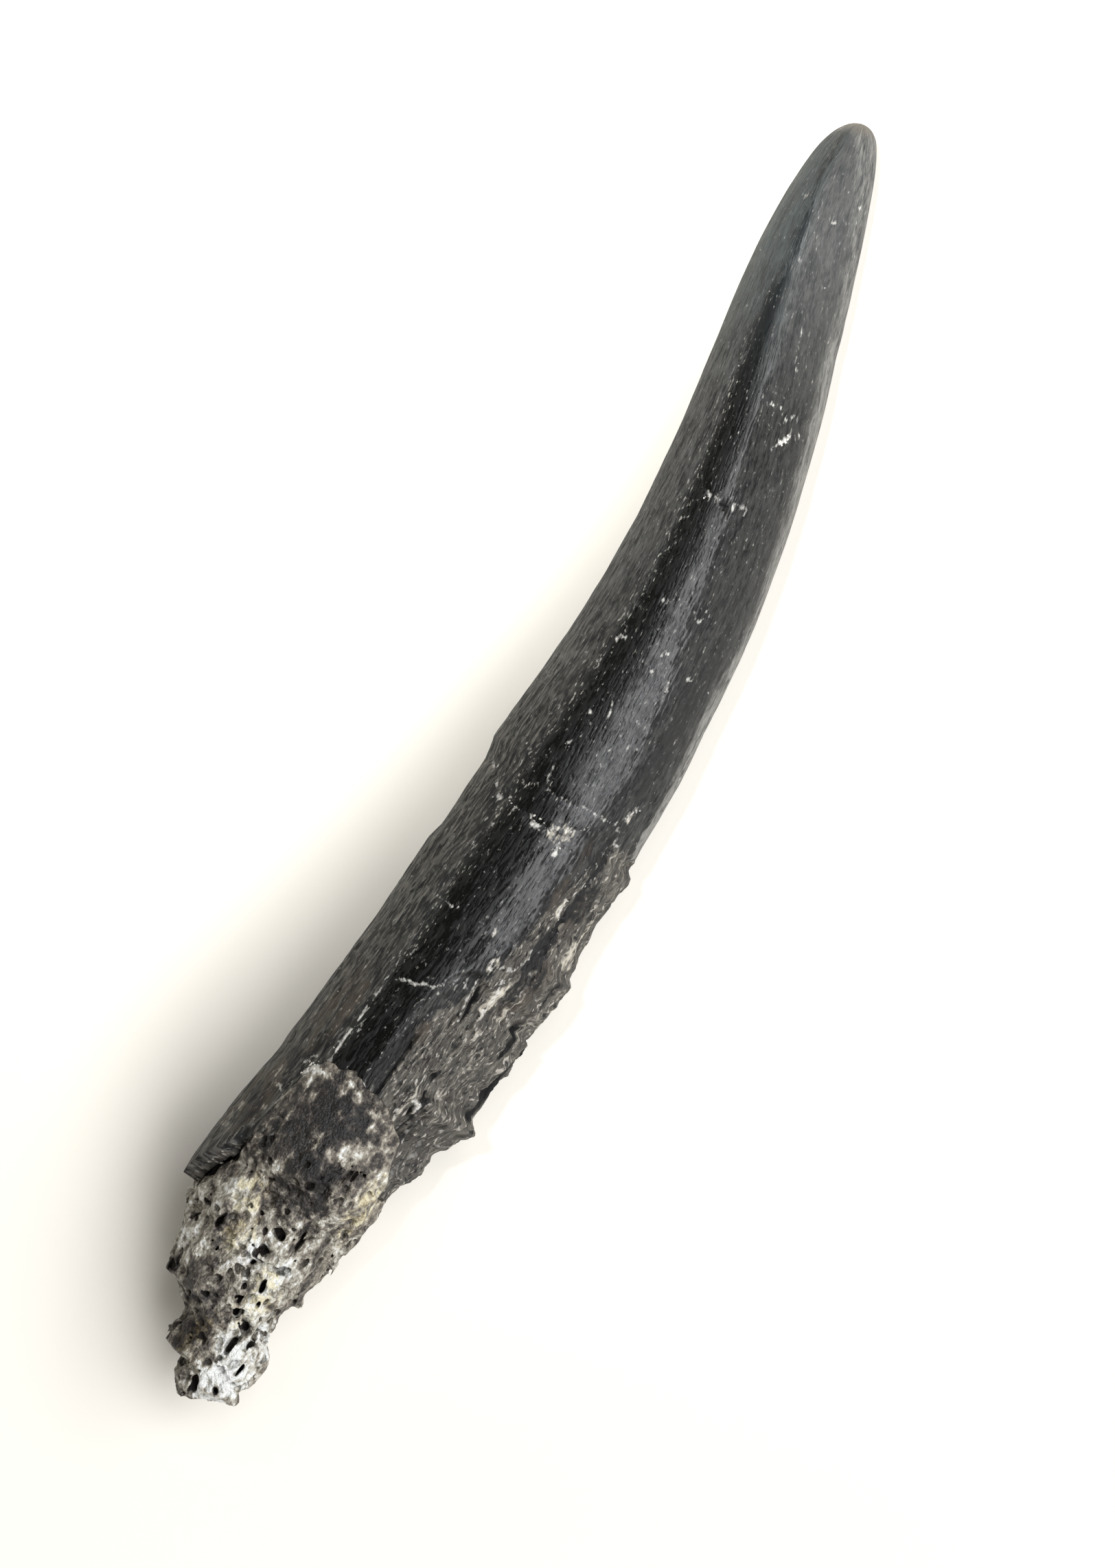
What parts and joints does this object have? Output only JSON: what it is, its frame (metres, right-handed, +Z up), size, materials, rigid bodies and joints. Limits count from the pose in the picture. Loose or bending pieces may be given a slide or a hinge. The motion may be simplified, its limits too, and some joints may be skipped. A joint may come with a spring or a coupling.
{
  "type": "fossil diplodocus tooth",
  "caption": "Curved, peg-shaped fossil tooth with a blunt tip, a glossy black surface and spongy bone in its broken root.",
  "frame": {"origin": "on the surface it lies on, under the middle of its box", "axes": "+X along the chord from the root end to the tip, +Y to the concave side of the bend, +Z up from the surface it lies on"},
  "size_m": [0.0526, 0.0096, 0.0068],
  "materials": {
    "tooth": "mineralised enamel and dentine, near black, glossy, finely striated lengthwise, rough and grey where the root is spalled",
    "root_bone": "mineralised spongy bone, cream to white with grey and ochre stains, matt, open-pored"
  },
  "bodies": {
    "root": {"tooth": "tooth", "root_bone": "root_bone"}
  },
  "joints": []
}
